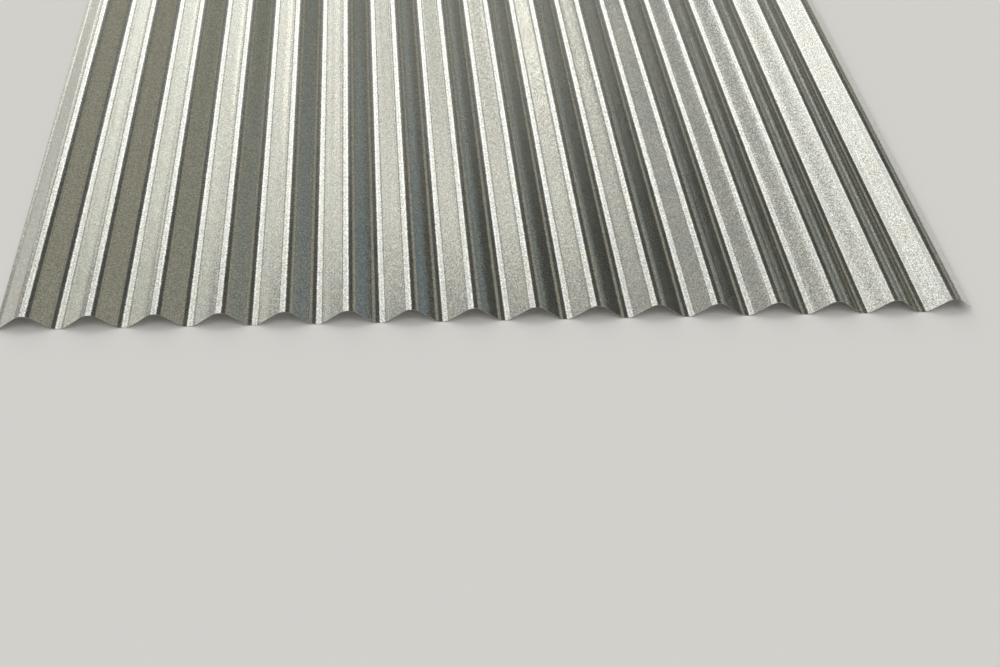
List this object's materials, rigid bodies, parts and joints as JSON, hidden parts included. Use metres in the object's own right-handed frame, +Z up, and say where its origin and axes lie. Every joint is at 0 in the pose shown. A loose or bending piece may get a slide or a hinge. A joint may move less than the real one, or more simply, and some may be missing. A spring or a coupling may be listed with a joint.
{
  "type": "corrugated metal sheet",
  "caption": "Roll-formed corrugated sheet of bare metal-coated steel, round-bottomed waves along its length, down-turned lips at both long edges, cut square at the ends.",
  "frame": {"origin": "middle of the sheet's width and length, on the level surface that its troughs rest on", "axes": "+X across the waves from the longer lip to the shorter one, +Y along the waves, +Z up out of the troughs"},
  "size_m": [1.0524, 2, 0.0185],
  "materials": {
    "coated_steel": "bare aluminium-zinc coated steel, bright and silvery, with a fine sandy grain and faint lengthwise forming marks beside the bends"
  },
  "bodies": {
    "root": {"corrugated_sheet": "coated_steel"}
  },
  "joints": []
}
